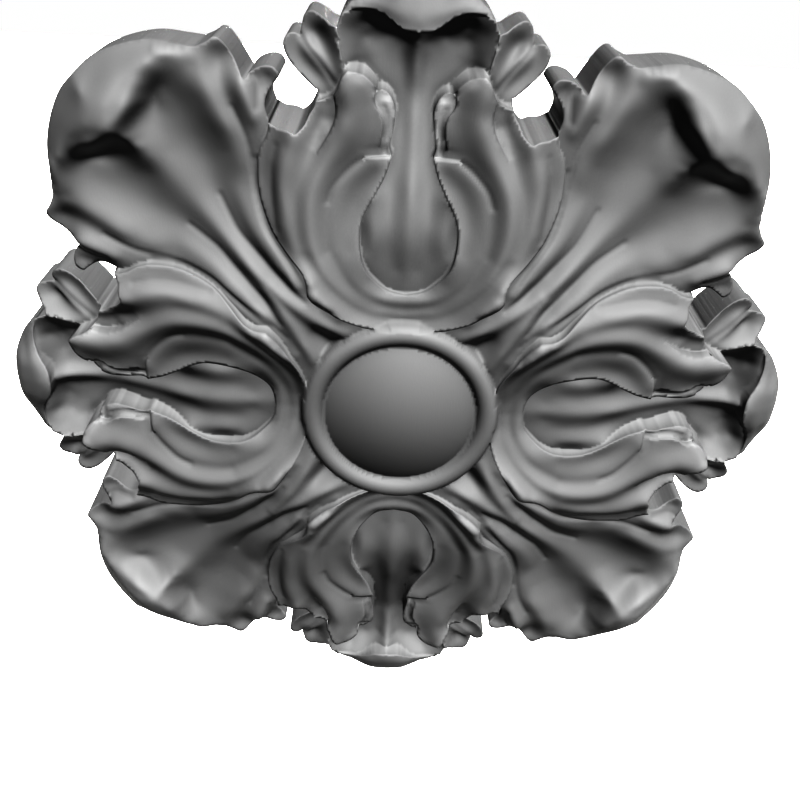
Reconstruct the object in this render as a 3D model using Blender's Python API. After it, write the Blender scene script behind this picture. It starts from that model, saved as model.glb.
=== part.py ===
# Carved wooden rosette
# One block of wood: four side leaves with a channel and a tip lobe, four diagonal leaves, a ring and a domed boss.
# Lengths are in millimetres unless a comment says otherwise. One eighth of the carving is described, between a
# leaf's axis (across = 0) and the diagonal (across = along), and the rest is its mirror image.

import bpy
import bmesh
import numpy as np
from mathutils import Matrix, Vector

# Driving dimensions
MM = 0.001
REACH = 124.0                 # half the side of the blank the carving comes out of
CELL = 1.0                    # spacing of the carved surface before it is thinned
FACE_TRIANGLES = 8000         # what the thinned face keeps
RIM_THICKNESS = 3.0           # least thickness of wood anywhere
CROWN_HEIGHT = 33.0           # the block's face over its centre
CROWN_FALL = 15.5             # how far that face has fallen at CROWN_REACH
CROWN_REACH = 100.0
DOME_HEIGHT = 36.6
DOME_FALL = 6.4               # from the boss's top to its edge
DOME_RADIUS = 20.6
RING_RADIUS = 23.7
RING_BAR = 3.0
RING_HEIGHT = 29.6            # centre of the ring's round bar
OUTER_RING = 25.5             # outside this radius the leaves may stand higher than the ring's bar
GUIDE_GAP = 2.5               # distance between the points read along a guide line
GUIDE_SOFTNESS = 0.8          # how far the surface may leave a guide line to stay smooth
LEAF_CORE = 60.0              # inside this radius there is wood all round
TWIN_BAND = 24.0              # how far from its mirror line a guide still needs its mirror image
SEAM = 0.005                  # points closer than this are one point
ON_AXIS = 0.0001              # how near a point on a leaf's axis lies to it

# Finish
WOOD_COLOUR = (0.15, 0.15, 0.153, 1.0)
WOOD_ROUGHNESS = 0.7

# Guide lines of the channel that runs out of the eye, each point as (across, along, height above the crown)
CHANNEL = {
    "rib": [(0, 32, -5.6), (0, 36.5, -5.1), (0, 40, -4.5), (0, 48, -2.9), (0, 54, -2.9), (0, 60, -3.7),
            (0, 68, -5.8), (0, 76, -7.1), (0, 82, -7.7), (0, 88, -6.1), (0, 92, -4.4), (0, 95.5, -2)],
    "rib side": [(2.5, 40, -5), (2.5, 47, -3.6), (2.5, 53, -3.5), (2.5, 60, -4.8), (2.5, 70, -7),
                 (2.5, 80, -8.5), (2.5, 86, -8.1), (2.5, 90, -7.1), (2.5, 94, -5.4)],
    "floor": [(5, 36, -5.6), (5, 43, -4.6), (5, 50, -3.8), (5, 56, -4.6), (5, 62, -5.8), (4.6, 70, -7.1),
              (4.3, 80, -8.8), (4.6, 86, -8.5), (5.5, 91, -7.6), (7, 95, -5.9)],
    "bank": [(8, 39, -4.9), (9.3, 44, -3.8), (9.2, 49, -3), (9.2, 54, -2.8), (8.7, 58, -3),
             (7.5, 61, -4.8)],
    "wall": [(10.5, 43, -3.9), (11.2, 49, -3.8), (11, 54, -2.9), (9.5, 58, -2.3)],
    "tip floor": [(9.5, 84, -8.2), (10.5, 89, -7.7), (12, 92, -6.7), (12.3, 95, -5.6), (11, 98, -4.1)],
    "bank foot": [(14.2, 88, -6.8), (14.2, 92, -5.8), (13.7, 95.5, -4.7), (12, 98, -3.9)],
    "lip foot": [(0, 96.5, -.9), (2, 96.7, -2.8), (4, 97.2, -3.9), (6, 98.3, -3.1), (8, 99.3, -2.2),
                 (10, 100, -1.2), (12.5, 100, -1.3), (14.7, 98.8, -1.8), (16.1, 96, -3),
                 (16.5, 92.5, -3.4), (16.2, 89, -3.9)],
    "tip edge": [(9, 101, .2), (12, 101.7, .3), (15.2, 101.6, .1), (17, 99.5, -.4), (18.4, 97, -.9),
                 (18.8, 93.5, -1.2), (18.3, 89, -2.2), (17.6, 86.5, -2.5)],
    "mouth": [(0, 34, -5.4), (2.5, 34.3, -5.6), (4.9, 35, -5.7), (6.8, 36.2, -5.5), (8.6, 38, -5.1)],
}

# Guide lines of the tip that turns over the channel's end
TIP = {
    "lip": [(0, 97.2, 3), (2.5, 97.4, 2.8), (4.6, 98.2, 2.3), (6.4, 99.4, 2), (8.5, 100.6, 1.2),
            (11.5, 101.4, .4), (15, 101.2, 0), (18.4, 100, -.5)],
    "top": [(0, 99.8, 3.6), (3, 100.2, 3.3), (6, 101.2, 2.7), (9, 102.2, 1.4), (12, 102.8, .4),
            (16.4, 102.4, 0)],
    "brow": [(0, 104, 3.1), (5, 104, 2.6), (9, 103.8, .8), (13, 103.9, -.4)],
    "rim": [(0, 106.5, 2.2), (5, 106, 2.1), (8.5, 105, .8), (12, 104, -.4), (16.6, 101.4, -.4)],
    "edge": [(0, 108.3, 0), (6.5, 107.4, .3), (12.4, 105.2, -1.4), (17.6, 101.6, -1)],
}

# Guide lines of the side leaf
SIDE_LEAF = {
    "eye": [(12.6, 46, -.3), (12.8, 51, -.6), (11.8, 55, -.9), (9.6, 59.4, -.9), (7.7, 63, -.9),
            (6, 67.5, -.5)],
    "gutter": [(14.2, 46, -.35), (14.8, 50, -.5), (14.6, 54, -.9), (13.6, 58, -1.2), (11.6, 62, -1.1),
               (9, 65, -.7)],
    "ring side": [(18.5, 46, .5), (19, 51, .55), (18.2, 58, .4), (16, 63, .2), (12.5, 66.5, .1),
                  (9, 68.3, .2)],
    "slope foot": [(20.2, 46, .8), (20.7, 51, .9), (20.4, 58, .8), (18.7, 62.5, .6), (16, 65.5, .2),
                   (13, 67.8, .1)],
    "inner ridge": [(23, 46.5, 2.95), (24.3, 51, 3.2), (24.6, 57, 3.2), (23.6, 62, 2.9), (21.6, 67, 2.5),
                    (19.8, 70.4, 2.6), (18.4, 73, 2.9), (17.2, 76.5, 3.5), (15.9, 80, 4), (15.8, 84, 5.1),
                    (15.8, 88, 5.8)],
    "crest": [(24, 38.8, 4.7), (25.2, 41, 4), (26.8, 43.8, 3.1), (28, 46, 2.8), (29.3, 50, 2.7),
              (30.4, 55, 2.75), (30.9, 61, 2.65), (30.7, 66, 2.95), (29.6, 70, 3.1), (28.5, 73, 3.4),
              (28.2, 75, 3)],
    "hollow": [(26.8, 48, 2.65), (27.9, 53, 2.5), (28.2, 58, 2.25), (27.2, 62.5, 2.1), (25.3, 66, 1.7),
               (24, 70, .8), (23, 74, .1), (23, 77.5, 0)],
    "chisel side": [(20.9, 73.5, 1.6), (20.3, 77, 1.1), (21, 80, .9)],
    "fold top": [(31.3, 52, 2.2), (31.9, 57, 2.2), (32.1, 62, 2.4), (31.7, 67, 2.6), (30.7, 71, 2.7)],
    "fold foot": [(32.6, 49, .7), (33.4, 54, .5), (34, 58, .1), (34.1, 63, .2), (33.8, 67, .7),
                  (32.9, 70.5, 1.3), (32.4, 74, 1.8)],
    "edge": [(19.2, 30.8, 2.3), (21.8, 32.8, 3.5), (24.2, 35, 4.5), (24.8, 37.6, 4.2), (25.9, 40.6, 3.8),
             (29, 44.2, 2.5), (32, 47.9, .8), (34.4, 52, -.2), (36.2, 57, -.8), (37, 62, -.9),
             (36.6, 67, -.2), (35.6, 71, .6), (35, 74.3, 1.2)],
    "curl": [(6, 71, -.4), (5.8, 76, .3), (5.6, 80, .8), (7.2, 82.5, 1.4), (8.3, 83.6, 1.8)],
    "curl ridge": [(6.9, 73, 0), (6.6, 77, 1), (7, 80, 1.5)],
    "middle": [(8.8, 71, -.1), (8.6, 75, .9), (9.2, 78.5, 1.5), (10.6, 81, 2.2), (11.6, 83.5, 3.2),
               (13, 86, 4.4)],
    "lobe end": [(10.3, 85, 3), (11.6, 86.6, 3.9), (13.6, 87.9, 4.6), (16.2, 88.6, 5.6)],
    "cheek": [(11.5, 70.5, .4), (12, 75, 1.8), (12.8, 79, 3)],
}

# The side leaf's folds where they turn round the eye under it: degrees from straight down and distance, both
# about the eye's centre, and height above the crown
EYE_CENTRE = (0, 46)
SWIRL = {
    "bowl edge": [(0, 12.6, -3.8), (24, 12.5, -3.75), (36, 12.4, -3.15), (48, 12.2, -2.45),
                  (60, 12, -1.45), (75, 12.3, -.55), (88, 12.6, -.3)],
    "first ridge": [(0, 13.5, -3.45), (12, 13.8, -3.3), (24, 14.2, -2.9), (36, 14.7, -2.2),
                    (48, 15.2, -1.3), (60, 15.7, -.5), (75, 16.6, .08), (88, 17.6, .4)],
    "first groove": [(0, 16, -4.07), (12, 16, -3.8), (24, 16, -3.2), (36, 15.8, -2.25), (48, 16.2, -1.3),
                     (60, 17, -.5), (75, 18, .27), (88, 19.4, .6)],
    "second ridge": [(0, 17.5, -3.8), (12, 17.4, -3.5), (24, 18, -2.6), (36, 18.5, -1.55), (48, 19, -.23),
                     (60, 19.7, 1.1), (75, 21.2, 2.5), (88, 22.6, 2.85)],
    "second groove": [(0, 18.6, -3.95), (12, 18.8, -3.6), (24, 19.3, -2.5), (36, 19.8, -1.37),
                      (48, 20.3, .05), (60, 21.1, 1.37), (75, 22.7, 2.7), (88, 25.4, 2.65)],
    "crest": [(12, 20.6, -2.6), (24, 21.4, -1.3), (36, 22, .25), (48, 23, 2.5), (58, 24.2, 4.4),
              (66, 24.9, 5)],
}

# Guide lines of the diagonal leaf
DIAGONAL_LEAF = {
    "midrib": [(19.2, 19.2, -4.6), (21, 21, -4), (23, 23, -2.5), (25, 25, -.7), (28, 28, .4),
               (31, 31, .7), (35, 35, .3), (40, 40, -.4), (46, 46, -2.3), (50, 50, -3.4), (54, 54, -3.9),
               (58, 58, -3.5), (62, 62, -2.3), (66, 66, .4)],
    "inner strand": [(14.8, 23.2, -1.3), (17.5, 24.5, -.5), (20.2, 25.8, .2), (25.2, 28.8, .9),
                     (27.6, 30.4, 1.2), (30.5, 32.4, 1), (34.3, 35.7, .4)],
    "valley": [(13.3, 24.7, -1.7), (16, 26, -1.1), (18.8, 27.4, -.5), (22.5, 30, -.1), (25.6, 32, .15),
               (28.2, 34, -.2), (30.9, 36, -1.2), (32.9, 38, -1.6), (34.9, 40, -1.8), (37, 42, -2.4),
               (39, 44, -2.7), (43, 48, -3.6), (45.5, 52, -4.5), (47.8, 56, -5.2), (49.7, 60, -5.2),
               (51.2, 65, -4.9), (53.2, 69, -4.2)],
    "outer strand": [(22.5, 31.4, .1), (25.8, 34, .2), (28, 36.4, .9), (30, 38.6, .5), (32, 40.2, .1),
                     (35.5, 44, -.6), (38.4, 48, -1.4), (40.8, 52, -2.4), (42.6, 56, -3.3),
                     (43.2, 60, -3.8), (42, 65, -2.8), (43.3, 70, -1.8), (45.3, 74, -.5), (47.7, 78, .2),
                     (50, 82, .9), (51.4, 86, 1), (51.6, 91, .9)],
    "crease": [(17, 27.9, -.4), (22, 30.8, -.2), (25, 33.5, .1), (26.8, 36, .8), (28.3, 39, .5),
               (30, 42, 0), (33, 46, -.3), (36, 50.3, -1.5), (38, 56, -2.8), (39, 61, -3.3),
               (39.2, 66, -3), (40.5, 70, -2.3), (42, 74, -1.6), (44, 78, -.9), (46, 82, -.5),
               (47, 85.5, -1.1), (47.6, 88, -1.5), (48, 90.5, -.6)],
    "side crease": [(38.4, 61, -3), (38, 66, -2.9), (37.7, 71, -2), (37.2, 74.5, -1.4)],
    "ear": [(38.4, 75.5, -.5), (39.3, 78.5, .3), (40.3, 82, 1), (41.2, 85, .9)],
    "ear foot": [(37.5, 77.5, -1), (37.9, 80, -1.2), (38, 82.5, -2), (38.7, 85, -1.9), (40.6, 86.6, -1.3)],
    "ear field": [(36.5, 76.5, -1.7), (36.5, 80, -2.4), (36.3, 82.4, -3.1), (35.2, 84.4, -3.4),
                  (36, 85.8, -2.6), (33.6, 85.6, -2.6), (35.6, 87.4, -2), (38.6, 86.6, -1.7)],
    "bay": [(54.8, 72, -3.4), (56.2, 76, -2.2), (57.7, 79, -1.1), (59, 82, .35), (59.5, 84.5, 1.9)],
    "tip": [(44, 90, -1.6), (46, 92, -.4), (48.1, 93.4, .6), (50, 92, .9)],
    "bay wall": [(46, 67, -3.2), (48.5, 71, -2.4), (50.5, 75, -1.3), (52.5, 79, -.3), (54.7, 82.5, .7)],
    "bay side": [(60, 66, -3), (61, 71, -2.4), (61.5, 76, -1.7), (61.6, 80, -.3)],
    "shoulder": [(53.5, 87, 1.4), (57, 88, 2.8), (60.5, 88, 4), (64, 87.5, 5.4)],
    "shoulder rim": [(53.5, 90.3, 1.2), (58, 90.8, 2.6), (62.5, 90.5, 3.4)],
    "lip foot": [(67.4, 67.4, 1.8), (66.5, 70, 1.2), (66.2, 72, .7), (65.3, 74, -.1), (64.6, 76, -.5),
                 (64, 78, -.4), (63.3, 80, .2), (62.4, 82, 1.2), (61.2, 84, 2.2)],
    "lip wall": [(69.8, 69.8, 4.8), (69, 71.5, 4.2), (67.8, 73.8, 3.1), (66.7, 76, 2.6), (65.9, 78, 3.2),
                 (65.3, 80, 3.4), (64.9, 82, 4.2)],
    "lip": [(72, 72, 9), (70.3, 74, 8.4), (68.7, 76, 7.6), (67.6, 78.2, 7.2), (66.8, 81, 6.4),
            (65.6, 84.5, 5.7)],
    "lip top": [(71.5, 76, 9.7), (70.2, 79, 8.9), (69.3, 82, 7.6), (67.5, 85, 6.3)],
    "crest": [(74.5, 74.5, 10.5), (73.5, 78, 10.1), (71.7, 81.5, 8.5), (69, 84.5, 6.7), (66.5, 87, 5.5)],
    "back": [(80.2, 80.2, 7.3), (77, 82.5, 6.2), (72.5, 86, 4.9), (67, 88.7, 3.8), (63, 90.3, 2.9)],
    "rim": [(82.2, 82.2, 4.8), (79, 86, 3), (71.8, 89.6, 2.2), (63.5, 91.3, 1.3), (56, 90.8, .5)],
}

# Guide lines of the two cupped leaflets beside the tip
LEAFLETS = {
    "root": [(14, 85, -3.4), (16, 87.5, -2.6), (19, 84, -3.5)],
    "upper rim": [(17.8, 87.5, -2.3), (18.8, 91, -1.8), (19.5, 94, -1.1), (20.3, 96, -1.3),
                  (21.8, 97.4, -1.7), (23.4, 99.2, -2.3), (25, 100.2, -2.6)],
    "upper hollow": [(19.8, 87.5, -3.2), (21.3, 90, -3.5), (23, 92, -4.3), (24.5, 94, -5.2),
                     (25.3, 96, -4.3), (25.3, 98.5, -3.1)],
    "parting": [(20, 85.7, -3.3), (22, 88.3, -3.1), (23.8, 90.3, -3.1), (25.5, 92.2, -3.1),
                (27.3, 94.2, -3.9)],
    "lower hollow": [(21.7, 84, -4.4), (24, 86, -4.7), (26.5, 88.3, -4.6), (28.2, 90.3, -4.3),
                     (28.9, 92.6, -4)],
    "lower rim": [(23.6, 83, -4.3), (27, 85.8, -4.3), (30, 88.3, -3.8), (31.3, 91, -3.4), (31, 93.5, -3.2)],
}

# Plan outlines, as runs of points that meet at sharp corners
RIM_RUNS = [
    [(0, 108.2), (6.5, 107.4), (12.3, 105.2), (17, 101.5), (19.2, 97)],
    [(19.2, 97), (20.6, 97.3), (22.8, 98.8), (25.2, 99.8), (26.9, 99), (27.6, 96.7), (28.1, 94.3)],
    [(28.1, 94.3), (29.8, 94.8), (31.4, 94), (31.9, 91.6), (30.4, 88.5), (27, 85), (23.7, 82.3)],
    [(23.7, 82.3), (23.8, 80), (25.2, 77.6), (26.3, 75.4), (28.3, 73.5)],
    [(28.3, 73.5), (30.4, 74.3), (32.8, 74.5), (35.3, 75.7)],
    [(35.3, 75.7), (36.2, 78.4), (35.7, 81), (34.3, 83.2), (32.8, 85.2)],
    [(32.8, 85.2), (33.8, 86.9), (35.9, 87.4), (38.4, 86.7), (40.1, 85.5), (41, 84.2)],
    [(41, 84.2), (42.4, 86.6), (44.4, 89.8), (46.5, 92.5), (48.3, 93.3), (50.3, 92), (53, 90.8)],
    [(53, 90.8), (57, 91.2), (64, 91.7), (71.6, 90.1), (78.4, 87.1), (83, 83)],
]
SIDE_LEAF_RUNS = [
    [(0, 33.8), (4.5, 34.8), (7.8, 37.3), (10.8, 41.5), (12.1, 46.5), (12.2, 52), (10.9, 56), (8.6, 60.2),
     (6.5, 64.3), (5, 69)],
    [(5, 69), (5.6, 71.2), (4.9, 75.5), (4.6, 79), (5.2, 81.4), (6.4, 83.2), (7.9, 84.1), (9, 83.6)],
    [(9, 83.6), (9.8, 85.5), (11.2, 87), (13.2, 88.2), (16.2, 88.8)],
    [(16.2, 88.8), (17.5, 87), (18.6, 84.2), (20.5, 81.9), (23.2, 80.9), (25.4, 81)],
    [(25.4, 81), (28.5, 76.8), (35.9, 77.8)],
    [(35.9, 77.8), (34.9, 74.8), (35.6, 72), (37, 69.2), (37.7, 65.5), (37.4, 59), (35.8, 53.5),
     (33.6, 49), (30, 44.8), (26.7, 41.6), (25.2, 38.8), (24.8, 35.4)],
    [(24.8, 35.4), (23, 33.4), (20.2, 31.3), (16.6, 29.1), (12.6, 27), (8, 25.5), (0, 25)],
]
TIP_LINE = [(0, 97), (2.5, 97.2), (4.6, 98), (6.4, 99.2), (8.5, 100.4), (11.5, 101.2), (15, 101),
            (18.4, 99.8), (20, 99)]
CHANNEL_CORNERS = [(0, 30), (0, 120), (19.2, 120), (19.2, 97.5), (18.5, 93), (17.2, 88), (14, 85.5),
                   (14, 30)]
LEAFLET_CORNERS = [(19.2, 120), (19.2, 97.5), (18.5, 93), (17.2, 88), (14.5, 89.2), (11, 85.5), (9, 80),
                   (15, 70), (26, 74), (24.5, 80.5), (40, 100)]

# Chisel laps inside the side leaf: the side to the left of each line, seen along it, is cut down by the depths
# given at its points, and the cut runs out over the reach. The area tells the two sides apart.
LAPS = {
    "curl": {"line": [(8.3, 70.5, 0), (7.7, 73.5, .8), (7.5, 76.5, 1.4), (8, 78.8, 2.1), (9.2, 80.4, 2.6),
                      (9.7, 82, 2.8), (9.4, 83.8, 2.8), (9, 86, 2.6)],
             "area": [(9, 92), (0, 92), (0, 70.5)], "reach": 60.0},
    "scoop": {"line": [(23.2, 69.3, 0), (21.6, 71.8, .9), (20.3, 74, 2), (19.4, 76, 3), (18.9, 78, 3.1),
                       (18.8, 80, 3.1), (19.4, 83.5, 3.2)],
              "area": [(19.4, 90), (34, 90), (34, 69.3)], "reach": 4.5},
    "tongue": {"line": [(4.5, 69.1, .9), (7, 69, .9), (9.5, 68.9, .6), (12.5, 68.2, 0)],
               "area": [(12.5, 72), (4.5, 72)], "reach": 3.0},
}


# A smooth curve through the points
def smooth_run(points, steps=8):
    p = np.array(points, float)
    p = np.vstack([2 * p[0] - p[1], p, 2 * p[-1] - p[-2]])
    t = np.linspace(0, 1, steps, endpoint=False)[:, None]
    pieces = []
    for a, b, c, d in zip(p, p[1:], p[2:], p[3:]):
        pieces.append(0.5 * (2 * b + (c - a) * t + (2 * a - 5 * b + 4 * c - d) * t**2
                             + (3 * b - a - 3 * c + d) * t**3))
    pieces.append(p[-2:-1])
    return np.vstack(pieces)


# The same curve read at even distances
def read_along(points, gap):
    curve = smooth_run(points)
    length = np.concatenate([[0], np.cumsum(np.hypot(*np.diff(curve[:, :2], axis=0).T))])
    count = max(2, int(round(length[-1] / gap)) + 1)
    places = np.linspace(0, length[-1], count)
    return np.stack([np.interp(places, length, curve[:, k]) for k in range(curve.shape[1])], 1)


# A guide line given about the eye, in plan
def about_eye(line):
    turned = []
    for angle, distance, height in line:
        across = EYE_CENTRE[0] + distance * np.sin(np.radians(angle))
        along = EYE_CENTRE[1] - distance * np.cos(np.radians(angle))
        turned.append((across, along, height))
    return turned


def crown(x, y):
    return CROWN_HEIGHT - CROWN_FALL * (x * x + y * y) / CROWN_REACH**2


def plate_kernel(squared):
    return 0.5 * squared * np.log(squared + 1e-9)


# A thin plate bent to pass through the guide lines, as a function that gives its height
def bent_plate(guides, mirror):
    points = np.vstack([read_along(line, GUIDE_GAP) for line in guides.values()])
    twins = points[:0]
    if mirror == "axis":
        twins = points[(points[:, 0] > 0.01) & (points[:, 0] < TWIN_BAND)] * (-1, 1, 1)
    if mirror == "diagonal":
        beyond = (points[:, 1] - points[:, 0]) / np.sqrt(2)
        twins = points[(beyond > 0.01) & (beyond < TWIN_BAND)][:, [1, 0, 2]]
    points = np.vstack([points, twins])
    plan = points[:, :2]
    count = len(plan)
    squared = ((plan[:, None] - plan[None]) ** 2).sum(-1)
    system = np.zeros((count + 3, count + 3))
    system[:count, :count] = plate_kernel(squared) + GUIDE_SOFTNESS * np.eye(count)
    system[:count, count] = 1
    system[count, :count] = 1
    system[:count, count + 1:] = plan
    system[count + 1:, :count] = plan.T
    weights = np.linalg.solve(system, np.concatenate([points[:, 2], [0, 0, 0]]))

    def height(x, y):
        h = weights[count] + weights[count + 1] * x + weights[count + 2] * y
        for (px, py), weight in zip(plan, weights[:count]):
            h = h + weight * plate_kernel((x - px) ** 2 + (y - py) ** 2)
        return h

    return height


def inside(x, y, outline):
    found = np.zeros(x.shape, bool)
    for (x1, y1), (x2, y2) in zip(np.roll(outline, 1, axis=0), outline):
        if y1 != y2:
            found ^= ((y1 > y) != (y2 > y)) & (x < (x2 - x1) * (y - y1) / (y2 - y1) + x1)
    return found


# The nearest place on a line to each given point, and how far it is
def nearest_on(points, line):
    best = np.full(len(points), np.inf)
    foot = points.copy()
    for a, b in zip(line, line[1:]):
        run = b - a
        t = np.clip((points - a) @ run / max(run @ run, 1e-9), 0, 1)[:, None]
        place = a + t * run
        distance = np.hypot(*(points - place).T)
        closer = distance < best
        best[closer] = distance[closer]
        foot[closer] = place[closer]
    return foot, best


def closed_outline(runs, closing):
    return np.vstack([smooth_run(run) for run in runs] + [closing])


# An arc round the centre, from the axis to the diagonal, and the sector inside it
def arc_outline(radius):
    turn = np.linspace(0, np.pi / 4, 24)
    arc = np.stack([np.sin(turn), np.cos(turn)], 1) * radius
    return np.vstack([arc, [(200, 0), (-40, 0), (-40, radius)]]), arc


def lap_area(lap):
    return np.vstack([smooth_run(lap["line"])[:, :2], lap["area"]])


# How deep a lap is cut at each point
def lap_depth(x, y, lap):
    line = smooth_run(lap["line"])
    foot, distance = nearest_on(np.stack([x, y], 1), line[:, :2])
    nearest = ((foot[:, None] - line[None, :, :2]) ** 2).sum(-1).argmin(1)
    return line[nearest, 2] * np.clip(1 - distance / lap["reach"], 0, 1)


RIM = closed_outline(RIM_RUNS, [(200, 83), (200, 0), (-40, 0), (-40, 109.4)])
SIDE = closed_outline(SIDE_LEAF_RUNS, [(-30, 25), (-30, 33.8)])
CHANNEL_PLAN = np.array(CHANNEL_CORNERS, float)
TIP_PLAN = closed_outline([TIP_LINE], [(20, 120), (0, 120)])
LEAFLET_PLAN = np.array(LEAFLET_CORNERS, float)

# Each step in the carving: the area inside it and the line that it follows
STEPS = {
    "rim": (RIM, RIM[:-4]),
    "side": (SIDE, SIDE[:-2]),
    **{name: (lap_area(lap), smooth_run(lap["line"])[:, :2]) for name, lap in LAPS.items()},
    "channel": (CHANNEL_PLAN, CHANNEL_PLAN[3:6]),
    "tip": (TIP_PLAN, TIP_PLAN[:-2]),
    "boss": arc_outline(DOME_RADIUS),
    "ring": arc_outline(RING_RADIUS + RING_BAR),
}


# The height of the carved face over one eighth of the rosette
def carved_height(x, y, within):
    offset = bent_plate(DIAGONAL_LEAF, "diagonal")(x, y)
    offset = np.where(inside(x, y, LEAFLET_PLAN), bent_plate(LEAFLETS, None)(x, y), offset)
    offset = np.where(within["channel"], bent_plate(CHANNEL, "axis")(x, y), offset)
    offset = np.where(within["tip"] & within["channel"], bent_plate(TIP, "axis")(x, y), offset)
    swirl = {"swirl " + name: about_eye(line) for name, line in SWIRL.items()}
    offset = np.where(within["side"], bent_plate(SIDE_LEAF | swirl, "axis")(x, y), offset)
    for name, lap in LAPS.items():
        cut = within["side"] & within[name]
        offset[cut] -= lap_depth(x[cut], y[cut], lap)
    leaf = crown(x, y) + offset
    radius = np.hypot(x, y)
    dome = DOME_HEIGHT - DOME_FALL * (radius / DOME_RADIUS) ** 2
    bar = RING_HEIGHT + np.sqrt(np.maximum(0, RING_BAR**2 - (radius - RING_RADIUS) ** 2))
    ring = np.maximum(bar, np.where(radius > OUTER_RING, leaf, 0))
    face = np.where(radius < DOME_RADIUS, dome, np.where(radius < RING_RADIUS + RING_BAR, ring, leaf))
    return np.maximum(face, RIM_THICKNESS)


# Moves the grid points beside an outline onto it, and says which they are and which points lie inside
def fit_to_outline(plan, grid, outline, line, fixed):
    low = plan.min(axis=1)
    high = plan.max(axis=1)
    swapped = plan[:, 0] > plan[:, 1]
    within = inside(low + 1e-6, high, outline)
    foot, distance = nearest_on(np.stack([low, high], 1), line)
    chosen = np.zeros(len(plan), bool)
    for first, second in ((grid[:-1], grid[1:]), (grid[:, :-1], grid[:, 1:])):
        a = first.ravel()
        b = second.ravel()
        crossing = (within[a] != within[b]) & ~fixed[a] & ~fixed[b]
        a = a[crossing]
        b = b[crossing]
        chosen[np.where(distance[a] <= distance[b], a, b)] = True
    chosen &= distance < CELL
    on_diagonal = plan[:, 0] == plan[:, 1]
    foot[on_diagonal] = foot[on_diagonal].mean(axis=1)[:, None]
    foot[low == 0, 0] = 0
    plan[chosen] = np.where(swapped[chosen, None], foot[chosen][:, ::-1], foot[chosen])
    return chosen, within


# A flat grid over one quarter, with the points' places and their numbers in rows
def flat_grid(bm):
    cells = int(REACH / CELL)
    half = cells * CELL / 2
    bmesh.ops.create_grid(bm, x_segments=cells, y_segments=cells, size=half,
                          matrix=Matrix.Translation((half, half, 0)))
    steps = np.round(np.array([v.co[:2] for v in bm.verts]) / CELL).astype(int)
    grid = np.zeros((cells + 1, cells + 1), int)
    grid[steps[:, 1], steps[:, 0]] = np.arange(len(steps))
    return steps * CELL, grid


# For each point the outline it lies on, and the carved heights on that outline's inner and outer side
def fit_grid(plan, grid):
    line_of = np.zeros(len(plan), int)
    within = {}
    beyond = {}
    for number, (name, (outline, line)) in enumerate(STEPS.items(), 1):
        fitted, area = fit_to_outline(plan, grid, outline, line, line_of > 0)
        line_of[fitted] = number
        within[name] = area | fitted
        beyond[name] = area & ~fitted
    across = plan.min(axis=1)
    along = plan.max(axis=1)
    inner = carved_height(across, along, within)
    outer = inner.copy()
    on_line = line_of > 0
    beyond = {name: area[on_line] for name, area in beyond.items()}
    outer[on_line] = carved_height(across[on_line], along[on_line], beyond)
    return line_of, inner, outer


# The steps that each face lies inside, as a set of their numbers
def face_areas(faces):
    centres = np.array([f.calc_center_median() for f in faces])
    across = centres[:, :2].min(axis=1)
    along = centres[:, :2].max(axis=1)
    found = [inside(across, along, outline) for outline, line in STEPS.values()]
    return [{n for n, yes in enumerate(row, 1) if yes} for row in np.array(found).T]


# The carved face of one quarter: the grid is parted along the outlines, each side of a cut is raised to its own
# height and a wall is drawn down between them
def carve_quarter(bm):
    plan, grid = flat_grid(bm)
    line_of, inner, outer = fit_grid(plan, grid)
    line_layer = bm.verts.layers.int.new("line")
    inner_layer = bm.verts.layers.float_vector.new("inner")
    outer_layer = bm.verts.layers.float_vector.new("outer")
    area_layer = bm.faces.layers.int.new("areas")
    for vert, (x, y), on_line, high, low in zip(bm.verts, plan, line_of, inner, outer):
        vert.co = (x, y, 0)
        vert[line_layer] = int(on_line)
        vert[inner_layer] = Vector((x, -high, y)) * MM
        vert[outer_layer] = Vector((x, -low, y)) * MM
    bmesh.ops.connect_verts(bm, verts=[v for v in bm.verts if v[line_layer]])
    faces = list(bm.faces)
    areas = face_areas(faces)
    for face, found in zip(faces, areas):
        face[area_layer] = sum(1 << n for n in found)
    parted = []
    for edge in bm.edges:
        number = edge.verts[0][line_layer]
        sides = [(f[area_layer] >> number) & 1 for f in edge.link_faces]
        if number and number == edge.verts[1][line_layer] and sorted(sides) == [0, 1]:
            parted.append(edge)
    bmesh.ops.split_edges(bm, edges=parted)
    outer_side = set()
    for vert in bm.verts:
        sides = [(f[area_layer] >> vert[line_layer]) & 1 for f in vert.link_faces]
        if not any(sides):
            outer_side.add(vert)
        elif not all(sides):
            vert[inner_layer] = vert[outer_layer] = (vert[inner_layer] + vert[outer_layer]) / 2
        vert.co = vert[outer_layer] if vert in outer_side else vert[inner_layer]
    brink = []
    for edge in bm.edges:
        a, b = edge.verts
        on_axis = any(abs(a.co[k]) < ON_AXIS * MM and abs(b.co[k]) < ON_AXIS * MM for k in (0, 2))
        same_line = a[line_layer] and a[line_layer] == b[line_layer]
        if edge.is_boundary and same_line and not on_axis and not outer_side & {a, b}:
            brink.append(edge)
    walls = bmesh.ops.extrude_edge_only(bm, edges=brink)["geom"]
    for item in walls:
        if isinstance(item, bmesh.types.BMVert):
            item.co = item[outer_layer]
    waste = []
    for face in bm.faces:
        centre = face.calc_center_median()
        if not face[area_layer] & 2 and Vector((centre.x, centre.z)).length > LEAF_CORE * MM:
            waste.append(face)
    bmesh.ops.delete(bm, geom=waste, context="FACES")
    bmesh.ops.remove_doubles(bm, verts=list(bm.verts), dist=SEAM * MM)
    bmesh.ops.dissolve_degenerate(bm, dist=SEAM * MM, edges=list(bm.edges))


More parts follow.
